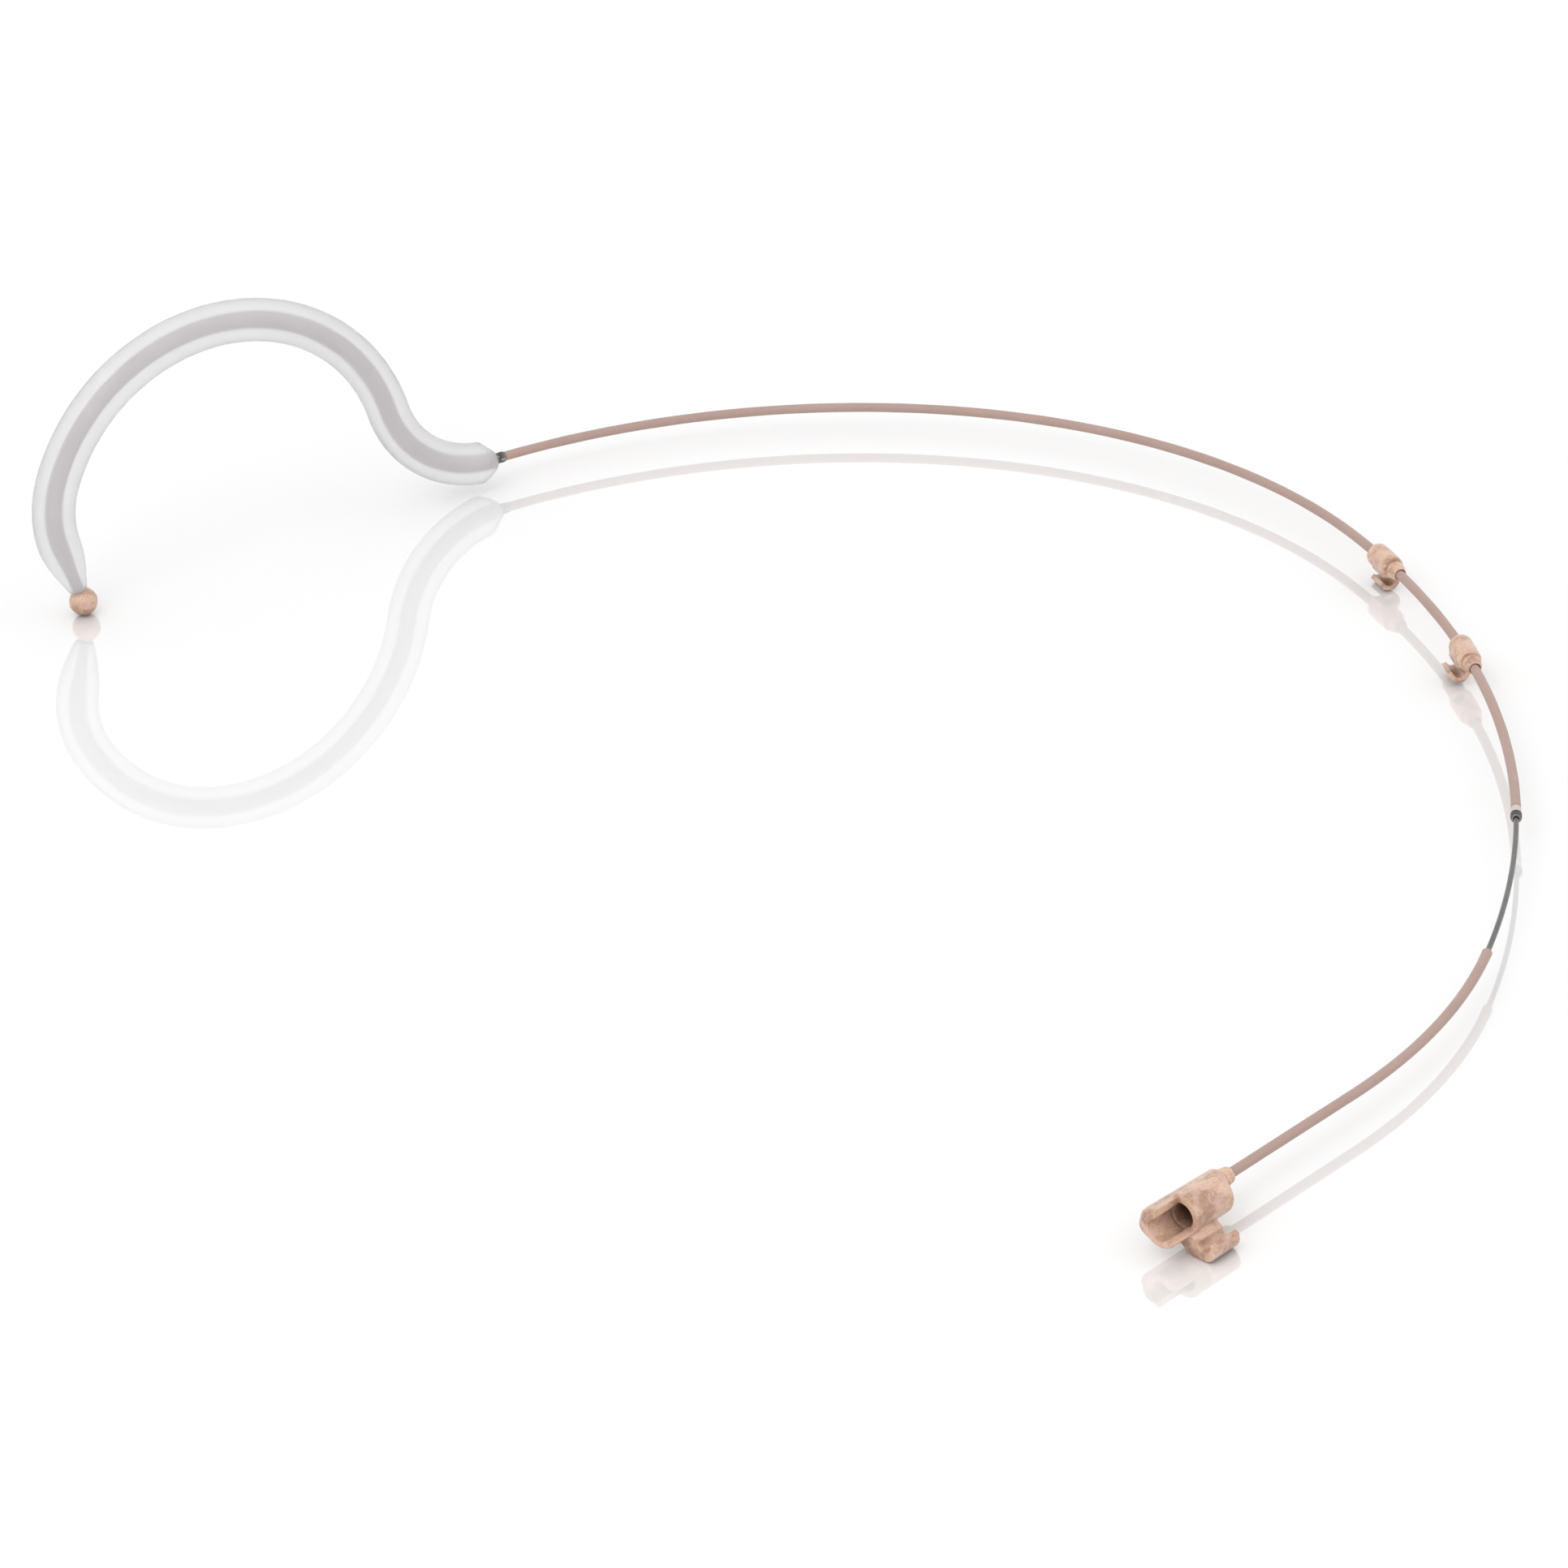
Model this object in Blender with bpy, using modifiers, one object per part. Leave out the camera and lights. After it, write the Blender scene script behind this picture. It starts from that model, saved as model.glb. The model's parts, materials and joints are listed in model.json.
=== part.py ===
"""Neckband frame of a headset microphone.

A silicone-covered ear hook stands at one end of a thin steel band. Two cable clips sit on the band. At its other
end a spring wire telescopes into the band's tube, and carries a moulded clamp for the microphone boom and its cable.

The frame lies on a flat surface at z = 0. The hook stands in the XZ plane and the band runs level, at BAND_HEIGHT.
Along the band, "station" is the distance from the hook's collar, measured on the band's centre line.
"""

import math

import bmesh
import bpy
from mathutils import Matrix, Vector

MM = 0.001

# Band outline, seen from above: three arcs, each turning right, and a straight end
BAND_START_HEADING = math.radians(-1.9)
FRONT_ARC_LENGTH = 111.0 * MM
FRONT_ARC_RADIUS = 68.3 * MM
SLIDE_ARC_LENGTH = 92.2 * MM
SLIDE_ARC_RADIUS = 120.9 * MM
REAR_ARC_LENGTH = 29.1 * MM
REAR_ARC_RADIUS = 63.2 * MM

# Ear hook, seen from the side: a straight root, three arcs and a straight tail down to the ball
HOOK_ROOT_LENGTH = 0.8 * MM
HOOK_RISE_RADIUS = 12.9 * MM
HOOK_RISE_TURN = math.radians(76.7)
HOOK_CROWN_RADIUS = 21.4 * MM
HOOK_CROWN_TURN = math.radians(143.4)
HOOK_TAIL_RADIUS = 12.4 * MM
HOOK_TAIL_TURN = math.radians(38.2)

# Round sections
HOOK_SKIN_RADIUS = 0.65 * MM
SLEEVE_RADIUS = 2.4 * MM
SLEEVE_LIP_RADIUS = 1.0 * MM
SLEEVE_CONE_LENGTH = 1.9 * MM
SLEEVE_TAPER_LENGTH = 6.6 * MM
SLEEVE_TAIL_RADIUS = 1.1 * MM
BALL_RADIUS = 1.6 * MM
BALL_WIRE_DEPTH = 0.53 * MM
TUBE_RADIUS = 0.43 * MM
TUBE_WALL = 0.085 * MM
SKIN_WALL = 0.07 * MM
WIRE_HEAD_STEP = 0.03 * MM
REAR_SKIN_RADIUS = 0.5 * MM

# Stations and lengths along the band
HOOK_COLLAR_LENGTH = 1.1 * MM
HOOK_COLLAR_RADIUS = 0.62 * MM
HOOK_WIRE_LAP = 8.0 * MM
CLIP_PARKING = 7.8 * MM
CLIP_SPACING = 22.9 * MM
SLIDE_ROOM = 26.8 * MM
COLLAR_LENGTH = 0.95 * MM
COLLAR_WALL = 0.09 * MM
COLLAR_END_WALL = 0.35 * MM
COLLAR_RING_LENGTH = 1.05 * MM
WIRE_INSERTION = 22.0 * MM
BARE_WIRE_LENGTH = 26.35 * MM
REAR_SKIN_LENGTH = 46.8 * MM

# Cable clips
CLIP_BARREL_RADIUS = 1.3 * MM
CLIP_BARREL_LENGTH = 6.0 * MM
CLIP_NECK_RADIUS = 1.0 * MM
CLIP_NECK_LENGTH = 1.5 * MM
CLIP_CHANNEL_LENGTH = 3.2 * MM
CLIP_CHANNEL_SETBACK = 0.4 * MM
CLIP_CABLE_RADIUS = 0.6 * MM
CLIP_WALL = 0.6 * MM
CLIP_WEB = 0.1 * MM
CLIP_MOUTH_HALF_ANGLE = math.radians(48.0)
CLIP_LIP_FLARE = 0.2 * MM
REAR_CLIP_ROLL = math.radians(-30.0)

# Boom clamp: a flared ridge from the wire, a boom socket beside it, and a cable channel on a web below
ENTRY_COLLAR_RADIUS = 0.95 * MM
ENTRY_COLLAR_LENGTH = 1.3 * MM
RIDGE_RADIUS = 1.35 * MM
RIDGE_END_RADIUS = 1.65 * MM
RIDGE_END_CHAMFER = 0.6 * MM
RIDGE_LENGTH = 10.5 * MM
SHELL_STEP = 0.2 * MM
SOCKET_BORE_RADIUS = 1.2 * MM
SOCKET_WALL = 0.8 * MM
SOCKET_OFFSET = 1.45 * MM
SOCKET_RISE = 0.2 * MM
SOCKET_START = 1.6 * MM
SOCKET_FLOOR = 0.4 * MM
SOCKET_MOUTH = 7.0 * MM
CRADLE_LENGTH = 3.2 * MM
CRADLE_WALL_OFFSET = 1.05 * MM
CRADLE_RIM_DROP = 0.6 * MM
CABLE_CHANNEL_LAP = 0.15 * MM
CABLE_CHANNEL_RADIUS = 0.75 * MM
CABLE_CHANNEL_WALL = 0.55 * MM
CABLE_FLOOR_RISE = 0.45 * MM
CABLE_CHANNEL_START = 4.0 * MM
CABLE_CHANNEL_LENGTH = 3.6 * MM
CABLE_LIP_ANGLE = math.radians(30.0)
WEB_MEETS_CHANNEL = math.radians(178.0)
WEB_ROOT_DEPTH = 0.5 * MM
WEB_ROOT_IN = 0.3 * MM
WEB_ROOT_OUT = 1.6 * MM
WEB_ROOT_RISE = 0.9 * MM
WEB_KNEE_DROP = 1.0 * MM
SOLE_WIDTH = 1.3 * MM
FERRULE_RADIUS = 0.6 * MM
FERRULE_LENGTH = 2.2 * MM
FERRULE_START = 0.8 * MM

# Clearances
LAYER_GAP = 0.02 * MM
PRESS_GAP = 0.045 * MM
SLIDING_GAP = 0.04 * MM
RUNNING_GAP = 0.07 * MM
SEAT_GAP = 0.03 * MM
END_GAP = 0.1 * MM

# Facets
FRONT_PITCH = 4.0 * MM
SLIDE_PITCH = 3.0 * MM
HOOK_PITCH = 2.8 * MM
CLOSEST_STATIONS = 0.9 * MM
THIN_SIDES = 8
SLEEVE_SIDES = 16
TURNED_SIDES = 24
TAPER_STOPS = (1.0, 0.7, 0.45, 0.22)
SHARP_ANGLE = math.radians(40.0)
WELD = 0.001 * MM

# Sizes that follow from the ones above
TUBE_BORE_RADIUS = TUBE_RADIUS - TUBE_WALL
HOOK_WIRE_RADIUS = TUBE_BORE_RADIUS - PRESS_GAP
SLIDE_WIRE_HEAD_RADIUS = TUBE_BORE_RADIUS - SLIDING_GAP
SLIDE_WIRE_RADIUS = SLIDE_WIRE_HEAD_RADIUS - WIRE_HEAD_STEP
FRONT_SKIN_RADIUS = TUBE_RADIUS + LAYER_GAP + SKIN_WALL
CLIP_CHANNEL_OUTER = CLIP_CABLE_RADIUS + CLIP_WALL
CLIP_CHANNEL_DROP = CLIP_BARREL_RADIUS + CLIP_WEB + CLIP_CABLE_RADIUS
BAND_HEIGHT = CLIP_CHANNEL_DROP + CLIP_CHANNEL_OUTER
FERRULE_CHAMBER_RADIUS = FERRULE_RADIUS + RUNNING_GAP
SOCKET_RADIUS = SOCKET_BORE_RADIUS + SOCKET_WALL
SOCKET_BORE_START = FERRULE_START + FERRULE_LENGTH + END_GAP + SOCKET_FLOOR
CABLE_CHANNEL_OUTER = CABLE_CHANNEL_RADIUS + CABLE_CHANNEL_WALL
CABLE_CHANNEL_DROP = BAND_HEIGHT - CABLE_CHANNEL_OUTER
CABLE_CHANNEL_OFFSET = SOCKET_OFFSET + SOCKET_RADIUS - CABLE_CHANNEL_LAP + CABLE_CHANNEL_OUTER

# Stations that follow from the lengths above
FRONT_SKIN_START = HOOK_COLLAR_LENGTH / 2 + SEAT_GAP
FRONT_CLIP_STATION = FRONT_ARC_LENGTH + CLIP_PARKING
REAR_CLIP_STATION = FRONT_CLIP_STATION + CLIP_SPACING
TUBE_END_STATION = FRONT_ARC_LENGTH + SLIDE_ARC_LENGTH - SLIDE_ROOM
COLLAR_END = TUBE_END_STATION + END_GAP + COLLAR_END_WALL
COLLAR_START = COLLAR_END - COLLAR_LENGTH
COLLAR_RING_START = COLLAR_START - SEAT_GAP - COLLAR_RING_LENGTH
FRONT_SKIN_END = COLLAR_RING_START - SEAT_GAP
WIRE_HEAD_STATION = TUBE_END_STATION - WIRE_INSERTION
REAR_SKIN_START = COLLAR_END + BARE_WIRE_LENGTH
REAR_SKIN_END = REAR_SKIN_START + REAR_SKIN_LENGTH
ENTRY_COLLAR_START = REAR_SKIN_END + SEAT_GAP
CLAMP_STATION = ENTRY_COLLAR_START + ENTRY_COLLAR_LENGTH + END_GAP
WIRE_END_STATION = CLAMP_STATION + FERRULE_START + FERRULE_LENGTH

# Colours: linear RGB, roughness, metallic
FLESH = ((0.52, 0.33, 0.26), 0.45, 0.0)
CLIP_FLESH = ((0.56, 0.31, 0.19), 0.4, 0.0)
CLEAR_SILICONE = ((0.78, 0.79, 0.80), 0.3, 0.0)
STEEL = ((0.42, 0.41, 0.40), 0.3, 1.0)
DARK_STEEL = ((0.12, 0.11, 0.11), 0.4, 1.0)
PALE_PLASTIC = ((0.75, 0.73, 0.70), 0.4, 0.0)


def clear_scene():
    for obj in list(bpy.data.objects):
        bpy.data.objects.remove(obj, do_unlink=True)


def collection(name):
    made = bpy.data.collections.new(name)
    bpy.context.scene.collection.children.link(made)
    return made


def material(name, finish):
    colour, roughness, metallic = finish
    made = bpy.data.materials.new(name)
    made.use_nodes = True
    shader = made.node_tree.nodes["Principled BSDF"]
    shader.inputs["Base Color"].default_value = (*colour, 1.0)
    shader.inputs["Roughness"].default_value = roughness
    shader.inputs["Metallic"].default_value = metallic
    made.diffuse_color = (*colour, 1.0)
    return made


clear_scene()
PARTS = collection("headset_frame")
CUTTERS = collection("cutters")
ROOT = bpy.data.objects.new("frame_origin", None)
PARTS.objects.link(ROOT)


# Centre lines


def band_place(station):
    """The centre line's point and heading at a station. Before 0 and past the arcs it runs straight."""
    x, y, heading, left = 0.0, 0.0, BAND_START_HEADING, station
    arcs = (
        (FRONT_ARC_LENGTH, FRONT_ARC_RADIUS),
        (SLIDE_ARC_LENGTH, SLIDE_ARC_RADIUS),
        (REAR_ARC_LENGTH, REAR_ARC_RADIUS),
    )
    for length, radius in arcs:
        step = min(max(left, 0.0), length)
        turned = heading - step / radius
        x += radius * (math.sin(heading) - math.sin(turned))
        y += radius * (math.cos(turned) - math.cos(heading))
        heading = turned
        left -= step
    return Vector((x + left * math.cos(heading), y + left * math.sin(heading), BAND_HEIGHT)), heading


def slide_arc_centre():
    """The centre that the telescoping wire and the clips turn about."""
    start, heading = band_place(FRONT_ARC_LENGTH)
    inward = Vector((math.sin(heading), -math.cos(heading), 0.0))
    return start + inward * SLIDE_ARC_RADIUS


def hook_place(distance):
    """The hook's centre line, measured from its collar towards the ball, and its direction in the XZ plane."""
    across, up, slope, left = 0.0, BAND_HEIGHT, 0.0, distance
    root = min(left, HOOK_ROOT_LENGTH)
    across += root
    left -= root
    arcs = (
        (HOOK_RISE_RADIUS, HOOK_RISE_TURN),
        (HOOK_CROWN_RADIUS, -HOOK_CROWN_TURN),
        (HOOK_TAIL_RADIUS, -HOOK_TAIL_TURN),
    )
    for radius, turn in arcs:
        step = min(max(left, 0.0), radius * abs(turn))
        turned = slope + math.copysign(step / radius, turn)
        signed = math.copysign(radius, turn)
        across += signed * (math.sin(turned) - math.sin(slope))
        up -= signed * (math.cos(turned) - math.cos(slope))
        slope = turned
        left -= step
    point = Vector((-across - left * math.cos(slope), 0.0, up + left * math.sin(slope)))
    return point, Vector((-math.cos(slope), 0.0, math.sin(slope)))


def hook_length():
    """From the collar to the ball's centre, which is one ball radius above the surface."""
    curved = HOOK_ROOT_LENGTH + sum(
        (
            HOOK_RISE_RADIUS * HOOK_RISE_TURN,
            HOOK_CROWN_RADIUS * HOOK_CROWN_TURN,
            HOOK_TAIL_RADIUS * HOOK_TAIL_TURN,
        )
    )
    point, direction = hook_place(curved)
    return curved + (point.z - BALL_RADIUS) / -direction.z


BALL_DISTANCE = hook_length()
SLEEVE_START = HOOK_COLLAR_LENGTH / 2 + END_GAP
SLEEVE_END = BALL_DISTANCE - BALL_RADIUS - END_GAP
WIRE_TIP = BALL_DISTANCE + BALL_WIRE_DEPTH


def spaced(marks, start, end):
    """Marks between start and end, with both ends, and none too close to the one before it."""
    kept = [start]
    for mark in sorted(marks):
        if mark - kept[-1] > CLOSEST_STATIONS and end - mark > CLOSEST_STATIONS:
            kept.append(mark)
    return kept + [end]


def steps(start, end, pitch):
    count = max(1, math.ceil((end - start) / pitch))
    return [start + (end - start) * i / count for i in range(count)]


def band_marks():
    """Stations that every layer of the band shares, so that their facets run parallel."""
    ends = [
        HOOK_WIRE_LAP,
        FRONT_ARC_LENGTH,
        WIRE_HEAD_STATION,
        FRONT_SKIN_END,
        FRONT_ARC_LENGTH + SLIDE_ARC_LENGTH,
        REAR_SKIN_START,
        REAR_SKIN_END,
    ]
    marks = []
    for start, end in zip([FRONT_SKIN_START] + ends[:-1], ends):
        pitch = FRONT_PITCH if end <= FRONT_ARC_LENGTH else SLIDE_PITCH
        marks += steps(start, end, pitch)
    return marks + [REAR_SKIN_END]


BAND_MARKS = band_marks()
HOOK_MARKS = steps(SLEEVE_START, SLEEVE_END, HOOK_PITCH)


def band_line(start, end):
    return [band_place(station)[0] for station in spaced(BAND_MARKS, start, end)]


def hook_line(start, end):
    return [hook_place(distance)[0] for distance in spaced(HOOK_MARKS, start, end)]


# Solids


def finish(obj, parent, surface):
    obj.data.materials.clear()
    obj.data.materials.append(surface)
    obj.parent = parent
    obj.matrix_parent_inverse = parent.matrix_world.inverted()


def curve_object(name, points, radius, sides, caps, radii=None):
    data = bpy.data.curves.new(name, "CURVE")
    data.dimensions = "3D"
    data.twist_mode = "Z_UP" if max(p.z for p in points) - min(p.z for p in points) < radius else "MINIMUM"
    data.bevel_depth = radius
    data.bevel_resolution = (sides - 4) // 2
    data.use_fill_caps = caps
    spline = data.splines.new("POLY")
    spline.points.add(len(points) - 1)
    for i, point in enumerate(points):
        spline.points[i].co = (*point, 1.0)
        spline.points[i].radius = radii[i] / radius if radii else 1.0
    spline.use_smooth = True
    obj = bpy.data.objects.new(name, data)
    PARTS.objects.link(obj)
    return obj


def rod(name, points, radius, sides=THIN_SIDES, radii=None):
    return curve_object(name, points, radius, sides, True, radii)


def tube(name, points, radius, bore, sides=THIN_SIDES):
    obj = curve_object(name, points, radius, sides, False)
    wall = obj.modifiers.new("wall", "SOLIDIFY")
    wall.thickness = radius - bore
    wall.offset = -1.0
    return obj


def as_mesh(obj):
    """The evaluated object as a mesh object with its ends welded, in place of the curve."""
    depsgraph = bpy.context.evaluated_depsgraph_get()
    mesh = bpy.data.meshes.new_from_object(obj.evaluated_get(depsgraph))
    work = bmesh.new()
    work.from_mesh(mesh)
    bmesh.ops.remove_doubles(work, verts=work.verts, dist=WELD)
    bmesh.ops.recalc_face_normals(work, faces=work.faces)
    work.to_mesh(mesh)
    work.free()
    name, matrix = obj.name, obj.matrix_world.copy()
    old = obj.data
    bpy.data.objects.remove(obj, do_unlink=True)
    if isinstance(old, bpy.types.Curve):
        bpy.data.curves.remove(old)
    made = bpy.data.objects.new(name, mesh)
    made.matrix_world = matrix
    PARTS.objects.link(made)
    return made


def as_cutter(obj):
    for holder in list(obj.users_collection):
        holder.objects.unlink(obj)
    CUTTERS.objects.link(obj)
    obj.hide_render = True
    obj.display_type = "WIRE"
    return obj


def boolean(obj, other, operation):
    cut = obj.modifiers.new(other.name, "BOOLEAN")
    cut.operation = operation
    cut.object = other
    return obj


def mesh_object(name, work):
    mesh = bpy.data.meshes.new(name)
    bmesh.ops.recalc_face_normals(work, faces=work.faces)
    work.to_mesh(mesh)
    work.free()
    obj = bpy.data.objects.new(name, mesh)
    PARTS.objects.link(obj)
    return obj


def round_bar(name, start, length, radius, y=0.0, z=0.0, sides=TURNED_SIDES):
    """A cylinder along local X."""
    work = bmesh.new()
    turn = Matrix.Translation((start + length / 2, y, z)) @ Matrix.Rotation(math.pi / 2, 4, "Y")
    bmesh.ops.create_cone(
        work, cap_ends=True, segments=sides, radius1=radius, radius2=radius, depth=length, matrix=turn
    )
    return mesh_object(name, work)


def turned(name, profile, y=0.0, z=0.0, sides=TURNED_SIDES):
    """A profile of (x, radius) points, turned about local X. It starts and ends on the axis."""
    mesh = bpy.data.meshes.new(name)
    points = [(x, y, z + radius) for x, radius in profile]
    mesh.from_pydata(points, [(i, i + 1) for i in range(len(points) - 1)], [])
    obj = bpy.data.objects.new(name, mesh)
    PARTS.objects.link(obj)
    axis = bpy.data.objects.new(name + "_axis", None)
    axis.location = (0.0, y, z)
    PARTS.objects.link(axis)
    bpy.context.view_layer.update()
    screw = obj.modifiers.new("turn", "SCREW")
    screw.axis = "X"
    screw.object = axis
    screw.steps = sides
    screw.render_steps = sides
    screw.use_merge_vertices = True
    screw.merge_threshold = WELD
    made = as_mesh(obj)
    bpy.data.objects.remove(axis, do_unlink=True)
    return made


def barrel_profile():
    """A clip's barrel, which steps down to a neck at one end."""
    half = CLIP_BARREL_LENGTH / 2
    chamfer = CLIP_BARREL_RADIUS / 4
    neck = half - CLIP_NECK_LENGTH
    return [
        (-half, 0.0),
        (-half, CLIP_BARREL_RADIUS - chamfer),
        (-half + chamfer, CLIP_BARREL_RADIUS),
        (neck, CLIP_BARREL_RADIUS),
        (neck, CLIP_NECK_RADIUS),
        (half, CLIP_NECK_RADIUS),
        (half, 0.0),
    ]


def block(name, low, high):
    work = bmesh.new()
    size = [b - a for a, b in zip(low, high)]
    middle = [(a + b) / 2 for a, b in zip(low, high)]
    bmesh.ops.create_cube(work, size=1.0, matrix=Matrix.Translation(middle) @ Matrix.Diagonal((*size, 1.0)))
    return mesh_object(name, work)


def extrusion(name, outline, start, length):
    """A flat outline in local YZ, drawn out along local X."""
    data = bpy.data.curves.new(name, "CURVE")
    data.dimensions = "2D"
    data.fill_mode = "BOTH"
    data.extrude = length / 2
    spline = data.splines.new("POLY")
    spline.points.add(len(outline) - 1)
    for i, (y, z) in enumerate(outline):
        spline.points[i].co = (y, z, 0.0, 1.0)
    spline.use_cyclic_u = True
    obj = bpy.data.objects.new(name, data)
    PARTS.objects.link(obj)
    made = as_mesh(obj)
    yz_to_x = Matrix(((0, 0, 1, start + length / 2), (1, 0, 0, 0), (0, 1, 0, 0), (0, 0, 0, 1)))
    made.data.transform(yz_to_x)
    return made


def arc(centre, radius, start, end, count):
    turns = (start + (end - start) * i / (count - 1) for i in range(count))
    return [(centre[0] + radius * math.cos(a), centre[1] + radius * math.sin(a)) for a in turns]


def belt(first, first_radius, second, second_radius, count=12):
    """The outline of a belt round two circles."""
    away = math.atan2(second[1] - first[1], second[0] - first[0])
    gap = math.dist(first, second)
    lean = math.acos((first_radius - second_radius) / gap)
    far = arc(second, second_radius, away - lean, away + lean, count)
    near = arc(first, first_radius, away + lean, away - lean + 2 * math.pi, count)
    return far + near


def open_ring(centre, inner, outer, mouth, half_angle, flare, count=14):
    """A C outline whose mouth faces the angle mouth, with lips that reach out by flare."""
    start, end = mouth + half_angle, mouth - half_angle + 2 * math.pi
    out = Vector((math.cos(mouth), math.sin(mouth))) * flare
    far = arc(centre, outer, start, end, count)
    near = arc(centre, inner, end, start, count)
    lip_a = [(near[0][0] + out.x, near[0][1] + out.y), (far[-1][0] + out.x, far[-1][1] + out.y)]
    lip_b = [(far[0][0] + out.x, far[0][1] + out.y), (near[-1][0] + out.x, near[-1][1] + out.y)]
    return far + lip_a[::-1] + near + lip_b[::-1] if flare else far + near


def shade_round(obj):
    if isinstance(obj.data, bpy.types.Mesh):
        obj.data.shade_smooth()
        obj.data.set_sharp_from_angle(angle=SHARP_ANGLE)


def set_on_band(obj, station, roll=0.0):
    """Local X runs along the band, local Z up, and roll turns the piece about the band."""
    place, heading = band_place(station)
    stand = Matrix.Translation(place) @ Matrix.Rotation(heading, 4, "Z") @ Matrix.Rotation(roll, 4, "X")
    obj.data.transform(stand)


def pivot(name, place, parent, axis_heading=0.0):
    obj = bpy.data.objects.new(name, None)
    obj.empty_display_size = HOOK_COLLAR_LENGTH
    obj.location = place
    obj.rotation_euler = (0.0, 0.0, axis_heading)
    PARTS.objects.link(obj)
    obj.parent = parent
    bpy.context.view_layer.update()
    return obj


# Ear hook


def taper_radius(distance):
    """The sleeve's radius: a short cone at the collar and a long taper to the ball."""
    cone = min(1.0, (distance - SLEEVE_START) / SLEEVE_CONE_LENGTH)
    tail = min(1.0, (SLEEVE_END - distance) / SLEEVE_TAPER_LENGTH)
    at_cone = SLEEVE_LIP_RADIUS + (SLEEVE_RADIUS - SLEEVE_LIP_RADIUS) * cone
    at_tail = SLEEVE_TAIL_RADIUS + (SLEEVE_RADIUS - SLEEVE_TAIL_RADIUS) * math.sin(tail * math.pi / 2)
    return min(at_cone, at_tail)


def ear_hook(parent):
    fit = 1.0 / math.cos(math.pi / THIN_SIDES)
    wire_bore = HOOK_WIRE_RADIUS * fit + LAYER_GAP
    sleeve_bore = HOOK_SKIN_RADIUS * fit + LAYER_GAP
    steel = material("spring_steel", STEEL)
    flesh = material("hook_core_skin", FLESH)

    wire_stops = spaced(HOOK_MARKS, HOOK_COLLAR_LENGTH, WIRE_TIP)
    line = [hook_place(distance)[0] for distance in reversed(wire_stops)]
    line += [band_place(station)[0] for station in spaced(BAND_MARKS, 0.0, HOOK_WIRE_LAP)]
    finish(rod("ear_hook_wire", line, HOOK_WIRE_RADIUS), parent, steel)

    core = tube("ear_hook_core_skin", hook_line(SLEEVE_START, SLEEVE_END), HOOK_SKIN_RADIUS, wire_bore)
    finish(core, parent, flesh)

    cone_marks = [SLEEVE_START + SLEEVE_CONE_LENGTH]
    tail_marks = [SLEEVE_END - SLEEVE_TAPER_LENGTH * share for share in TAPER_STOPS]
    stops = spaced(
        [m for m in HOOK_MARKS if m < SLEEVE_END - SLEEVE_TAPER_LENGTH] + cone_marks + tail_marks,
        SLEEVE_START,
        SLEEVE_END,
    )
    radii = [taper_radius(stop) for stop in stops]
    places = [hook_place(stop)[0] for stop in stops]
    sleeve = as_mesh(rod("ear_hook_sleeve", places, SLEEVE_RADIUS, SLEEVE_SIDES, radii))
    through = hook_line(SLEEVE_START - END_GAP, SLEEVE_END + END_GAP)
    bore = as_cutter(as_mesh(rod("sleeve_bore", through, sleeve_bore)))
    boolean(sleeve, bore, "DIFFERENCE")
    finish(sleeve, parent, material("clear_silicone", CLEAR_SILICONE))
    shade_round(sleeve)

    centre = hook_place(BALL_DISTANCE)[0]
    work = bmesh.new()
    bmesh.ops.create_uvsphere(work, u_segments=TURNED_SIDES, v_segments=TURNED_SIDES // 2, radius=BALL_RADIUS)
    ball = mesh_object("ear_hook_ball", work)
    ball.location = centre
    deep = WIRE_TIP + END_GAP
    pocket_line = [hook_place(BALL_DISTANCE - 2 * BALL_RADIUS)[0], hook_place(deep)[0]]
    pocket = as_cutter(as_mesh(rod("ball_pocket", pocket_line, wire_bore)))
    boolean(ball, pocket, "DIFFERENCE")
    finish(ball, parent, material("ball_tip", CLIP_FLESH))
    shade_round(ball)

    half = HOOK_COLLAR_LENGTH / 2
    collar_line = [hook_place(half)[0], band_place(half)[0]]
    finish(tube("hook_collar", collar_line, HOOK_COLLAR_RADIUS, wire_bore), parent, material("collar", DARK_STEEL))


# Band


def band_tube(parent):
    steel = material("tube_steel", STEEL)
    tube_line = band_line(FRONT_SKIN_START, TUBE_END_STATION)
    finish(tube("front_tube", tube_line, TUBE_RADIUS, TUBE_BORE_RADIUS), parent, steel)
    skin_line = band_line(FRONT_SKIN_START, FRONT_SKIN_END)
    skin = tube("front_skin", skin_line, FRONT_SKIN_RADIUS, FRONT_SKIN_RADIUS - SKIN_WALL)
    finish(skin, parent, material("front_skin", FLESH))


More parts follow.
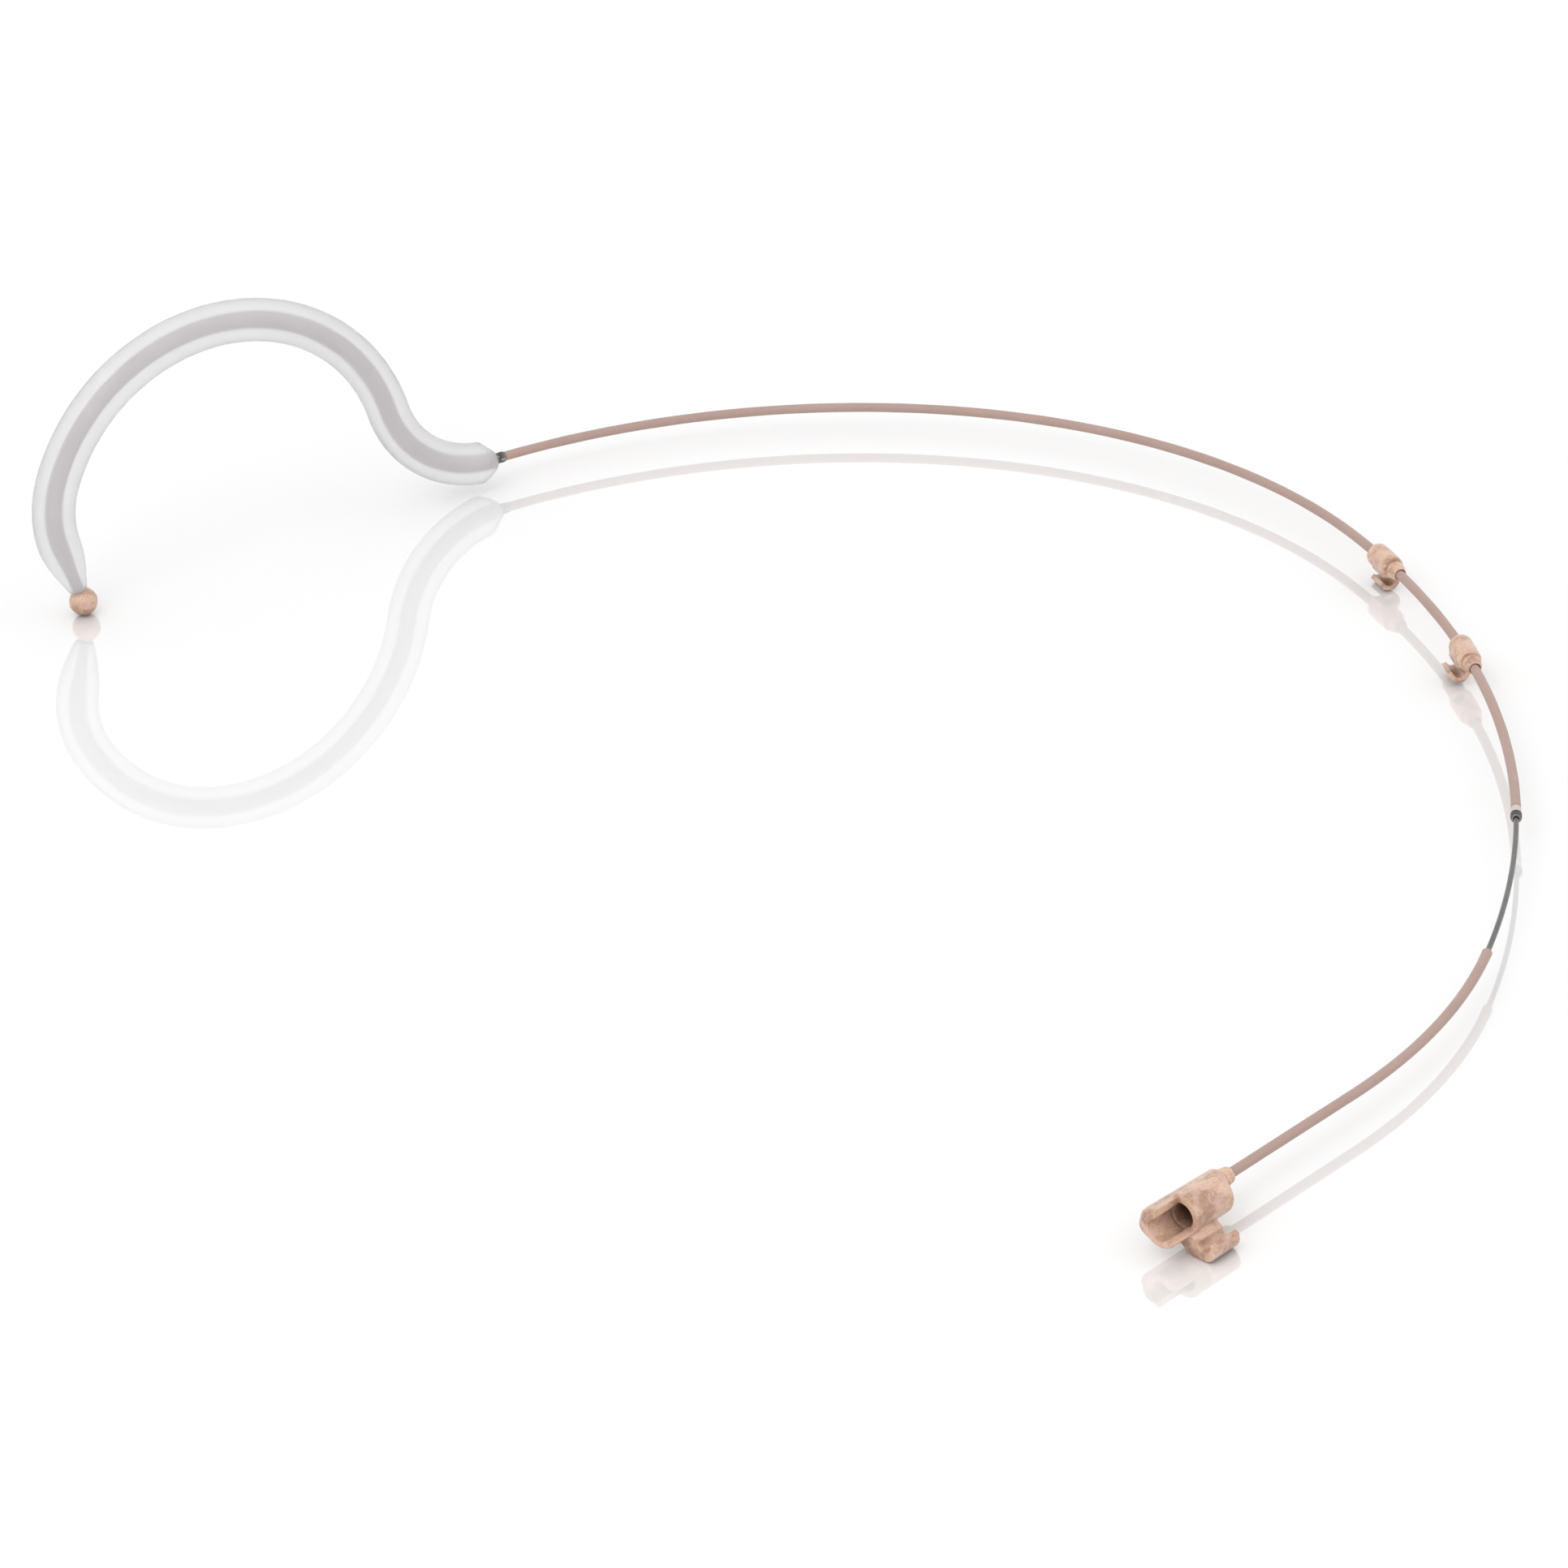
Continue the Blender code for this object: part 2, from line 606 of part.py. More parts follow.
def adjuster(parent):
    """The cup on the tube's end that the slide wire runs through, and the pale ring that closes the skin."""
    inside = FRONT_SKIN_RADIUS - SKIN_WALL
    outside = FRONT_SKIN_RADIUS + COLLAR_WALL
    ring_line = [band_place(COLLAR_RING_START)[0], band_place(COLLAR_RING_START + COLLAR_RING_LENGTH)[0]]
    ring = tube("collar_ring", ring_line, FRONT_SKIN_RADIUS + LAYER_GAP, inside)
    finish(ring, parent, material("pale_ring", PALE_PLASTIC))

    cup_line = [band_place(COLLAR_START)[0], band_place(COLLAR_END)[0]]
    cup = as_mesh(rod("adjuster_collar", cup_line, outside, TURNED_SIDES))
    seat_line = [band_place(COLLAR_START - END_GAP)[0], band_place(TUBE_END_STATION + END_GAP)[0]]
    seat = as_cutter(as_mesh(rod("collar_seat", seat_line, inside, TURNED_SIDES)))
    mouth_line = [band_place(TUBE_END_STATION)[0], band_place(COLLAR_END + END_GAP)[0]]
    mouth = as_cutter(as_mesh(rod("collar_mouth", mouth_line, TUBE_BORE_RADIUS, TURNED_SIDES)))
    boolean(cup, seat, "DIFFERENCE")
    boolean(cup, mouth, "DIFFERENCE")
    finish(cup, parent, material("adjuster_collar", DARK_STEEL))
    shade_round(cup)


def slide_end(parent):
    """The wire that telescopes into the tube, its skin, and the collar that stops the skin at the clamp."""
    bore = SLIDE_WIRE_RADIUS + LAYER_GAP
    stops = spaced(BAND_MARKS, WIRE_HEAD_STATION, WIRE_END_STATION)
    line = [band_place(stop)[0] for stop in stops]
    radii = [SLIDE_WIRE_RADIUS] * len(line)
    radii[0] = SLIDE_WIRE_HEAD_RADIUS
    wire = rod("slide_wire", line, SLIDE_WIRE_RADIUS, radii=radii)
    finish(wire, parent, material("slide_steel", STEEL))

    skin = tube("rear_skin", band_line(REAR_SKIN_START, REAR_SKIN_END), REAR_SKIN_RADIUS, bore)
    finish(skin, parent, material("rear_skin", FLESH))

    collar_end = ENTRY_COLLAR_START + ENTRY_COLLAR_LENGTH
    line = [band_place(ENTRY_COLLAR_START)[0], band_place(collar_end)[0]]
    finish(tube("entry_collar", line, ENTRY_COLLAR_RADIUS, bore), parent, material("entry_collar", CLIP_FLESH))

    start = CLAMP_STATION + FERRULE_START
    line = [band_place(start)[0], band_place(start + FERRULE_LENGTH)[0]]
    finish(tube("wire_ferrule", line, FERRULE_RADIUS, bore), parent, material("ferrule", STEEL))


# Cable clips


def cable_clip(name, station, roll, parent):
    """A barrel that grips the band, over a C-shaped channel that a thin cable snaps into."""
    barrel = turned(name, barrel_profile())
    outline = open_ring(
        (0.0, -CLIP_CHANNEL_DROP),
        CLIP_CABLE_RADIUS,
        CLIP_CHANNEL_OUTER,
        math.pi,
        CLIP_MOUTH_HALF_ANGLE,
        CLIP_LIP_FLARE,
    )
    channel_start = -CLIP_BARREL_LENGTH / 2 + CLIP_CHANNEL_SETBACK
    channel = extrusion(name + "_channel", outline, channel_start, CLIP_CHANNEL_LENGTH)
    bore = round_bar(
        name + "_bore",
        -CLIP_BARREL_LENGTH,
        2 * CLIP_BARREL_LENGTH,
        (FRONT_SKIN_RADIUS + RUNNING_GAP) / math.cos(math.pi / TURNED_SIDES),
    )
    boolean(barrel, as_cutter(channel), "UNION")
    boolean(barrel, as_cutter(bore), "DIFFERENCE")
    for obj in (barrel, channel, bore):
        set_on_band(obj, station, roll)
    finish(barrel, parent, material(name, CLIP_FLESH))
    shade_round(barrel)


# Boom clamp


def web_outline(socket, channel):
    """A web from under the socket down to a flat sole, whose outer edge curls up into a hook for the cable."""
    under = socket[1] - SOCKET_RADIUS
    hollow = (channel[0], channel[1] + CABLE_FLOOR_RISE)
    outline = [
        (socket[0] - WEB_ROOT_IN, under + WEB_ROOT_DEPTH),
        (socket[0] + WEB_ROOT_IN, under - WEB_KNEE_DROP / 2),
        (channel[0] - SOLE_WIDTH, -BAND_HEIGHT),
    ]
    outline += arc(channel, CABLE_CHANNEL_OUTER, -math.pi / 2, CABLE_LIP_ANGLE, 10)
    outline += arc(hollow, CABLE_CHANNEL_RADIUS, CABLE_LIP_ANGLE, WEB_MEETS_CHANNEL - 2 * math.pi, 14)
    return outline + [(socket[0] + WEB_ROOT_OUT, under + WEB_ROOT_RISE)]


def ridge_profile():
    """The ridge flares from the wire's entry to its far end, with rounded rims."""
    chamfer = RIDGE_RADIUS / 5
    return [
        (0.0, 0.0),
        (0.0, RIDGE_RADIUS - chamfer),
        (chamfer, RIDGE_RADIUS),
        (RIDGE_LENGTH - RIDGE_END_CHAMFER, RIDGE_END_RADIUS),
        (RIDGE_LENGTH, RIDGE_END_RADIUS - RIDGE_END_CHAMFER),
        (RIDGE_LENGTH, 0.0),
    ]


def boom_clamp(parent):
    """Local X runs on along the wire, local Y away from the neck. The sole lies on the surface."""
    socket = (SOCKET_OFFSET, SOCKET_RISE)
    channel = (CABLE_CHANNEL_OFFSET, -CABLE_CHANNEL_DROP)
    body = turned("boom_clamp", ridge_profile())

    cradle_end = SOCKET_MOUTH + CRADLE_LENGTH
    outline = belt((0.0, 0.0), RIDGE_RADIUS - SHELL_STEP, socket, SOCKET_RADIUS)
    shell = extrusion("socket_shell", outline, SOCKET_START, cradle_end - SOCKET_START)
    web = extrusion("cable_web", web_outline(socket, channel), CABLE_CHANNEL_START, CABLE_CHANNEL_LENGTH)
    bore = round_bar("socket_bore", SOCKET_BORE_START, RIDGE_LENGTH, SOCKET_BORE_RADIUS, *socket)
    window = block(
        "cradle_window",
        (SOCKET_MOUTH, CRADLE_WALL_OFFSET, -CRADLE_RIM_DROP),
        (RIDGE_LENGTH + SOCKET_WALL, SOCKET_OFFSET + 2 * SOCKET_RADIUS, SOCKET_RISE + 2 * SOCKET_RADIUS),
    )
    hole, chamber = SLIDE_WIRE_RADIUS + RUNNING_GAP, FERRULE_CHAMBER_RADIUS
    step, past = FERRULE_START - END_GAP, FERRULE_START + FERRULE_LENGTH + END_GAP
    wire_bore = turned(
        "wire_bore",
        [(-END_GAP, 0.0), (-END_GAP, hole), (step, hole), (step, chamber), (past, chamber), (past, 0.0)],
    )
    for piece in (shell, web):
        boolean(body, as_cutter(piece), "UNION")
    for piece in (bore, window, wire_bore):
        boolean(body, as_cutter(piece), "DIFFERENCE")
    for obj in (body, shell, web, bore, window, wire_bore):
        set_on_band(obj, CLAMP_STATION)
    finish(body, parent, material("boom_clamp", CLIP_FLESH))
    shade_round(body)


def stand_on_origin():
    """Moves the whole frame so that the origin is under the middle of its box."""
    bpy.context.view_layer.update()
    depsgraph = bpy.context.evaluated_depsgraph_get()
    corners = []
    for obj in PARTS.objects:
        if obj.type == "EMPTY":
            continue
        made = obj.evaluated_get(depsgraph)
        mesh = made.to_mesh()
        corners += [made.matrix_world @ vertex.co for vertex in mesh.vertices]
        made.to_mesh_clear()
    low = [min(c[axis] for c in corners) for axis in range(3)]
    high = [max(c[axis] for c in corners) for axis in range(3)]
    ROOT.location = (-(low[0] + high[0]) / 2, -(low[1] + high[1]) / 2, -low[2])
    for cutter in CUTTERS.objects:
        cutter.parent = ROOT
    bpy.context.view_layer.update()


def build():
    centre = slide_arc_centre()
    wire_end, wire_heading = band_place(CLAMP_STATION)
    slide_pivot = pivot("slide_pivot", centre, ROOT)
    front_clip_pivot = pivot("front_clip_pivot", centre, ROOT)
    rear_clip_pivot = pivot("rear_clip_pivot", centre, ROOT)
    clamp_pivot = pivot("clamp_pivot", wire_end - centre, slide_pivot, wire_heading)

    ear_hook(ROOT)
    band_tube(ROOT)
    adjuster(ROOT)
    slide_end(slide_pivot)
    cable_clip("front_cable_clip", FRONT_CLIP_STATION, 0.0, front_clip_pivot)
    cable_clip("rear_cable_clip", REAR_CLIP_STATION, REAR_CLIP_ROLL, rear_clip_pivot)
    boom_clamp(clamp_pivot)
    stand_on_origin()


build()
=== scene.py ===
"""The looks of a headset microphone's neckband frame.

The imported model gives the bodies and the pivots. Each visible part is rebuilt here as a fine mesh along the
same centre lines, in the same place, and gets a procedural finish. Three parts that are hidden inside others
keep their CAD mesh. Lengths are in millimetres until a mesh is finished.
"""

import json
import math

import bmesh
import bpy
from mathutils import Matrix, Vector, noise


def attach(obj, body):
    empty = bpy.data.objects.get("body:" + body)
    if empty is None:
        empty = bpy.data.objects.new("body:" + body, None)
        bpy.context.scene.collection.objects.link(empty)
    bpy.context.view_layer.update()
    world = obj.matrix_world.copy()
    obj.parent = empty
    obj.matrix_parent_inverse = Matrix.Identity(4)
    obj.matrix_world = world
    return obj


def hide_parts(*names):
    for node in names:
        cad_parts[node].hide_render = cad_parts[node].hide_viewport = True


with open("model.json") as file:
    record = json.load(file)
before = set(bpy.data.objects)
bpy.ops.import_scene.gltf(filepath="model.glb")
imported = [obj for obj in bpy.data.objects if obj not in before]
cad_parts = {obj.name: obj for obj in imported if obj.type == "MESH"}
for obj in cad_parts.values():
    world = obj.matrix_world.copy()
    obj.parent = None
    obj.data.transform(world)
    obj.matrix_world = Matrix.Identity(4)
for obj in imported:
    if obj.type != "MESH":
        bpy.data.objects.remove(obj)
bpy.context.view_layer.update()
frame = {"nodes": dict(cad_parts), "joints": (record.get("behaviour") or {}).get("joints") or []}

MM = 0.001
SHARP_ANGLE = math.radians(50)

# Band outline from above: three arcs, each turning right, then straight. Stations run from the hook's collar.
BAND_HEIGHT = 3.2
BAND_START_HEADING = math.radians(-1.9)
FRONT_ARC = (111.0, 68.3)
SLIDE_ARC = (92.2, 120.9)
REAR_ARC = (29.1, 63.2)

# Ear hook from the side: a straight root, then arcs as radius and signed turn, then straight to the ball
HOOK_ROOT = 0.8
HOOK_ARCS = ((12.9, math.radians(76.7)), (21.4, math.radians(-143.4)), (12.4, math.radians(-38.2)))

# Sections
CORE_RADIUS = 0.65
SLEEVE_RADIUS = 2.38
SLEEVE_TAIL_RADIUS = 1.05
SLEEVE_TAPER_LENGTH = 6.6
SLEEVE_COLLAR_RADIUS = 0.95
SLEEVE_CONE_LENGTH = 1.9
SLEEVE_CONE_CURVE = 0.85
CORE_TAIL_RADIUS = 0.42
CORE_TAPER_GAP = 2.6
CORE_TAPER_LENGTH = 3.4
CORE_BORE = 0.345
BALL_RADIUS = 1.58
BALL_FACE = 1.62
BALL_OPENING = 28.0
BALL_STEPS = 23
HOOK_COLLAR_HALF = 0.55
HOOK_COLLAR_RADIUS = 0.62
HOOK_COLLAR_BORE = 0.40
FRONT_SKIN_RADIUS = 0.52
FRONT_SKIN_BORE = 0.44
REAR_SKIN_RADIUS = 0.5
REAR_SKIN_BORE = 0.295
RING_RADIUS = 0.54
RING_BORE = 0.45
NUB_BORE = 0.31
WIRE_RADIUS = 0.275
TUBE_BORE = 0.345
COLLAR_RADIUS = 0.59

# Stations
SLEEVE_START = 0.65
SLEEVE_END = 85.42
BALL_DISTANCE = 87.12
FRONT_SKIN_START = 0.58
FRONT_SKIN_END = 174.79
RING_START = 174.82
RING_END = 175.87
COLLAR_START = 175.9
COLLAR_END = 176.85
WIRE_HEAD = 154.4
WIRE_END = 254.43
REAR_SKIN_START = 203.2
REAR_SKIN_END = 250.0
NUB_START = 250.03
NUB_END = 251.33
CLAMP_START = 251.43
FRONT_CLIP = 118.8
REAR_CLIP = 141.7
REAR_CLIP_ROLL = math.radians(-30.0)

# Floor's gloss and tone, and the strength of the white surroundings
FLOOR_IOR = 3.0
FLOOR_LOW = (0.86, 0.86, 0.86)
FLOOR_HIGH = (0.89, 0.89, 0.89)
WORLD_STRENGTH = 1.04
FLOOR_HALF = 4.0
FLOOR_DROP = 0.00002

# Lamps, in metres and watts: name, place, size, power
LAMPS = (
    ("key", (-0.55, -0.25, 0.75), 0.5, 1.3),
    ("fill", (0.7, -0.5, 0.55), 0.7, 0.5),
)

# Camera, from the hook's collar
CAMERA_PLACE = Vector((-302.5, -607.0, 337.1))
CAMERA_TURN = math.radians(29.0)
CAMERA_TILT = math.radians(29.2)
CAMERA_ROLL = math.radians(3.82)
CAMERA_LENS = 152.7
SENSOR = 36.0


# Centre lines


def band_place(station):
    x, y, heading, left = 0.0, 0.0, BAND_START_HEADING, station
    for length, radius in (FRONT_ARC, SLIDE_ARC, REAR_ARC):
        step = min(max(left, 0.0), length)
        turned = heading - step / radius
        x += radius * (math.sin(heading) - math.sin(turned))
        y += radius * (math.cos(turned) - math.cos(heading))
        heading = turned
        left -= step
    return Vector((x + left * math.cos(heading), y + left * math.sin(heading), BAND_HEIGHT)), heading


def slide_arc_centre():
    start, heading = band_place(FRONT_ARC[0])
    return start + Vector((math.sin(heading), -math.cos(heading), 0.0)) * SLIDE_ARC[1]


def band_section(station):
    """The centre, and the two directions across the band."""
    place, heading = band_place(station)
    return place, Vector((-math.sin(heading), math.cos(heading), 0.0)), Vector((0.0, 0.0, 1.0))


def hook_section(distance):
    across, up, slope = min(distance, HOOK_ROOT), BAND_HEIGHT, 0.0
    left = distance - across
    for radius, turn in HOOK_ARCS:
        step = min(max(left, 0.0), radius * abs(turn))
        turned = slope + math.copysign(step / radius, turn)
        signed = math.copysign(radius, turn)
        across += signed * (math.sin(turned) - math.sin(slope))
        up -= signed * (math.cos(turned) - math.cos(slope))
        slope = turned
        left -= step
    place = Vector((-across - left * math.cos(slope), 0.0, up + left * math.sin(slope)))
    return place, Vector((0.0, 1.0, 0.0)), Vector((math.sin(slope), 0.0, math.cos(slope)))


def joint(name):
    return next(j for j in frame["joints"] if j["name"] == name)


ORIGIN = Vector(joint("band_adjust")["pos_m"]) / MM - slide_arc_centre()


# Camera, floor and light


def place_camera():
    look = Vector(
        (
            math.sin(CAMERA_TURN) * math.cos(CAMERA_TILT),
            math.cos(CAMERA_TURN) * math.cos(CAMERA_TILT),
            -math.sin(CAMERA_TILT),
        )
    )
    right = look.cross(Vector((0.0, 0.0, 1.0))).normalized()
    up = right.cross(look)
    rolled_right = right * math.cos(CAMERA_ROLL) - up * math.sin(CAMERA_ROLL)
    rolled_up = up * math.cos(CAMERA_ROLL) + right * math.sin(CAMERA_ROLL)
    data = bpy.data.cameras.new("camera")
    data.lens = CAMERA_LENS
    data.sensor_width = SENSOR
    data.clip_start = 0.01
    data.clip_end = 20.0
    camera = bpy.data.objects.new("camera", data)
    bpy.context.scene.collection.objects.link(camera)
    axes = Matrix((rolled_right, rolled_up, -look)).transposed().to_4x4()
    camera.matrix_world = Matrix.Translation((ORIGIN + CAMERA_PLACE) * MM) @ axes
    bpy.context.scene.camera = camera


# Finishes


class Value:
    """A shader socket that Python's operators work on. Each operation adds one Math node."""

    def __init__(self, finish, socket):
        self.finish = finish
        self.socket = socket

    def maths(self, operation, first, second=0.0):
        return self.finish.node("ShaderNodeMath", {"operation": operation}, {0: first, 1: second})

    def __add__(self, other):
        return self.maths("ADD", self, other)

    __radd__ = __add__

    def __sub__(self, other):
        return self.maths("SUBTRACT", self, other)

    def __rsub__(self, other):
        return self.maths("SUBTRACT", other, self)

    def __mul__(self, other):
        return self.maths("MULTIPLY", self, other)

    __rmul__ = __mul__

    def __pow__(self, other):
        return self.maths("POWER", self, other)

    def clamp(self):
        return self.finish.node("ShaderNodeClamp", {}, {"Value": self})

    def above(self, edge, width):
        """0 below edge and 1 above edge + width, with a smooth step between."""
        return self.finish.node(
            "ShaderNodeMapRange",
            {"interpolation_type": "SMOOTHSTEP"},
            {"Value": self, "From Min": edge, "From Max": edge + width},
        )


class Finish:
    """A material with one Principled shader, and the nodes that feed it."""

    def __init__(self, name, **constants):
        self.material = bpy.data.materials.new(name)
        self.material.use_nodes = True
        self.tree = self.material.node_tree
        self.shader = self.tree.nodes["Principled BSDF"]
        for socket, value in constants.items():
            self.shader.inputs[socket.replace("_", " ")].default_value = value
        place = self.node("ShaderNodeTexCoord", {}, {}, "Object")
        self.place = self.node("ShaderNodeVectorMath", {"operation": "SCALE"}, {0: place, "Scale": 1.0 / MM})

    def node(self, kind, settings, sockets, output=0):
        """Adds a node: its settings first, then its sockets' values or links. Returns one output."""
        made = self.tree.nodes.new(kind)
        for name, setting in settings.items():
            setattr(made, name, setting)
        for name, value in sockets.items():
            self.feed(made.inputs[name], value)
        return Value(self, made.outputs[output])

    def feed(self, socket, value):
        if isinstance(value, Value):
            self.tree.links.new(value.socket, socket)
        elif isinstance(value, (tuple, list)) and len(value) == 3 and len(socket.default_value) == 4:
            socket.default_value = (*value, 1.0)
        else:
            socket.default_value = value

    def noise(self, size, detail=2.0, roughness=0.5, stretch=(1.0, 1.0, 1.0)):
        """Noise whose features are about size millimetres across, pulled out by stretch."""
        spans = tuple(size * s for s in stretch)
        scaled = self.node("ShaderNodeVectorMath", {"operation": "DIVIDE"}, {0: self.place, 1: spans})
        sockets = {"Vector": scaled, "Scale": 1.0, "Detail": detail, "Roughness": roughness}
        return self.node("ShaderNodeTexNoise", {}, sockets)

    def pits(self, size):
        """Distance to scattered points about size millimetres apart."""
        scaled = self.node("ShaderNodeVectorMath", {"operation": "DIVIDE"}, {0: self.place, 1: (size,) * 3})
        return self.node("ShaderNodeTexVoronoi", {}, {"Vector": scaled, "Scale": 1.0}, "Distance")

    def mix(self, amount, first, second):
        made = self.tree.nodes.new("ShaderNodeMix")
        made.data_type = "RGBA"
        for index, value in ((0, amount), (6, first), (7, second)):
            self.feed(made.inputs[index], value)
        return Value(self, made.outputs[2])

    def facing(self, blend):
        """1 where the surface turns away from the eye. Only the clear rubber uses it, to paint grey shade on
        its rims.
        """
        return self.node("ShaderNodeLayerWeight", {}, {"Blend": blend}, "Facing")

    def open_sky(self, reach):
        """1 on open surface, falling to 0 deep in a hollow about reach millimetres wide. It masks painted
        shade.
        """
        return self.node("ShaderNodeAmbientOcclusion", {"samples": 8}, {"Distance": reach * MM}, "AO")

    def outside_edge(self):
        """1 on outside edges and 0 in hollows."""
        return self.node("ShaderNodeNewGeometry", {}, {}, "Pointiness")

    def bump(self, height, depth):
        """Depth is in millimetres."""
        normal = self.node("ShaderNodeBump", {}, {"Height": height, "Strength": 1.0, "Distance": depth * MM})
        self.feed(self.shader.inputs["Normal"], normal)

    def colour(self, value):
        self.feed(self.shader.inputs["Base Color"], value)

    def roughness(self, value):
        self.feed(self.shader.inputs["Roughness"], value)


def clear_silicone():
    """Soft clear rubber with a cloudy bloom, moulding haze, dust-fine pits and painted grey shade on its
    rims.
    """
    finish = Finish("clear_silicone", Roughness=0.3, IOR=1.41, Transmission_Weight=0.74)
    cloud = finish.noise(2.4, 3.0, 0.55)
    bloom = finish.noise(0.35, 2.0, 0.5)
    haze = (cloud * 0.7 + bloom * 0.3).clamp()
    inner = finish.mix(haze, (0.88, 0.88, 0.89), (0.95, 0.95, 0.96))
    # Painted shade: the rims, where the surface turns away from the eye, are painted grey.
    edge = finish.facing(0.35) ** 2.0
    finish.colour(finish.mix((edge * 0.75).clamp(), inner, (0.62, 0.62, 0.635)))
    finish.roughness(0.24 + haze * 0.14)
    fine = finish.pits(0.12)
    finish.bump(cloud * 0.5 + fine * 0.12, 0.02)
    return finish.material


def silicone_core():
    """The flesh tube inside the silicone: its colour reads greyer and paler through the rubber."""
    finish = Finish("silicone_core", Roughness=0.6, IOR=1.45)
    blotch = finish.noise(3.0, 2.0)
    streak = finish.noise(0.25, 2.0)
    tone = finish.mix(blotch, (0.60, 0.52, 0.52), (0.72, 0.65, 0.655))
    finish.colour(finish.mix(streak * 0.25, tone, (0.80, 0.76, 0.765)))
    finish.roughness(0.5 + streak * 0.2)
    finish.bump(streak, 0.01)
    return finish.material


def flesh_skin():
    """Extruded flesh-toned skin: satin, with fine lines along it and slight blotches of tone."""
    finish = Finish("flesh_skin", Roughness=0.42, IOR=1.47, Coat_Weight=0.12, Coat_Roughness=0.3)
    blotch = finish.noise(5.0, 3.0, 0.6)
    grain = finish.noise(0.16, 2.0, 0.6)
    speck = 1.0 - finish.pits(0.3).above(0.10, 0.16)
    tone = finish.mix(blotch, (0.39, 0.265, 0.225), (0.51, 0.36, 0.31))
    mottled = finish.mix(grain * 0.5, tone, (0.32, 0.215, 0.18))
    bright_edge = finish.outside_edge().above(0.52, 0.1)
    worn = finish.mix((speck * 0.3 + bright_edge * 0.25).clamp(), mottled, (0.58, 0.43, 0.38))
    finish.colour(worn)
    finish.roughness(0.36 + grain * 0.2 + blotch * 0.06)
    finish.bump(grain * 0.6 + blotch * 0.4, 0.012)
    return finish.material


def flesh_moulding():
    """Glossy flesh-toned moulding with flow marks, painted highlights on its edges and fine spots, and
    painted shade in its hollows.
    """
    finish = Finish(
        "flesh_moulding",
        Roughness=0.3,
        IOR=1.5,
        Coat_Weight=0.35,
        Coat_Roughness=0.12,
        Subsurface_Weight=0.12,
        Subsurface_Radius=(0.8, 0.35, 0.2),
        Subsurface_Scale=MM,
    )
    flow = finish.noise(1.6, 4.0, 0.6, (1.8, 1.0, 1.0))
    grain = finish.noise(0.14, 3.0, 0.65)
    speck = 1.0 - finish.pits(0.42).above(0.14, 0.12)
    pinkish = finish.noise(0.9, 3.0, 0.6).above(0.46, 0.16)
    tone = finish.mix(flow.above(0.36, 0.26), (0.42, 0.235, 0.15), (0.76, 0.52, 0.37))
    mottled = finish.mix(grain.above(0.40, 0.22) * 0.42, tone, (0.36, 0.20, 0.125))
    blushed = finish.mix(pinkish * 0.55, mottled, (0.64, 0.42, 0.38))
    # Painted highlight: outside edges and fine scattered spots are painted pale as glints.
    bright_edge = finish.outside_edge().above(0.53, 0.08)
    glint = (speck * 0.35 + bright_edge * 0.35).clamp()
    warm = finish.mix(glint, blushed, (0.80, 0.60, 0.48))
    # Painted shade: deep hollows, such as the clamp's socket and the clips' channels, are painted dark brown.
    painted_hollow_shade = 1.0 - finish.open_sky(3.0).above(0.10, 0.36)
    finish.colour(finish.mix(painted_hollow_shade * 0.85, warm, (0.115, 0.04, 0.02)))
    finish.roughness(0.2 + grain * 0.22)
    finish.bump(grain * 0.5 + flow * 0.5 + speck * 0.12, 0.035)
    return finish.material


def spring_steel():
    """Drawn wire: long fine scratches, and brown-grey handling stains."""
    finish = Finish("spring_steel", Metallic=1.0, Roughness=0.3, IOR=2.2)
    scratch = finish.noise(0.05, 3.0, 0.7, (1.0, 1.0, 0.6))
    stain = finish.noise(2.5, 3.0, 0.6)
    tone = finish.mix(stain, (0.105, 0.10, 0.098), (0.20, 0.195, 0.19))
    finish.colour(finish.mix(scratch * 0.4, tone, (0.34, 0.34, 0.34)))
    finish.roughness(0.22 + scratch * 0.22)
    finish.bump(scratch, 0.004)
    return finish.material


def dark_steel():
    """Blackened collar with bright rubbed rims."""
    finish = Finish("dark_steel", Metallic=1.0, Roughness=0.35, IOR=2.2)
    grain = finish.noise(0.08, 3.0, 0.6)
    bright_edge = finish.outside_edge().above(0.53, 0.08)
    tone = finish.mix(grain, (0.055, 0.05, 0.05), (0.12, 0.115, 0.11))
    finish.colour(finish.mix((bright_edge * 0.8).clamp(), tone, (0.46, 0.45, 0.44)))
    finish.roughness(0.3 + grain * 0.2)
    finish.bump(grain, 0.004)
    return finish.material


def pale_plastic():
    finish = Finish("pale_plastic", Roughness=0.4, IOR=1.48)
    grain = finish.noise(0.1, 2.0)
    finish.colour(finish.mix(grain, (0.46, 0.40, 0.36), (0.70, 0.66, 0.62)))
    finish.roughness(0.35 + grain * 0.15)
    finish.bump(grain, 0.004)
    return finish.material


def pale_floor():
    """White lacquered board: nearly even, with a clear gloss."""
    finish = Finish("pale_floor", Roughness=0.02, IOR=FLOOR_IOR)
    drift = finish.noise(180.0, 2.0)
    finish.colour(finish.mix(drift, FLOOR_LOW, FLOOR_HIGH))
    finish.roughness(0.01 + drift * 0.02)
    return finish.material


# Meshes


def finished(name, work, surface, body, replaced):
    """Turns a bmesh in millimetres into a piece in metres that rides on its body in place of a CAD node."""
    bmesh.ops.recalc_face_normals(work, faces=work.faces)
    mesh = bpy.data.meshes.new(name)
    work.to_mesh(mesh)
    work.free()
    return placed(name, mesh, surface, body, replaced)


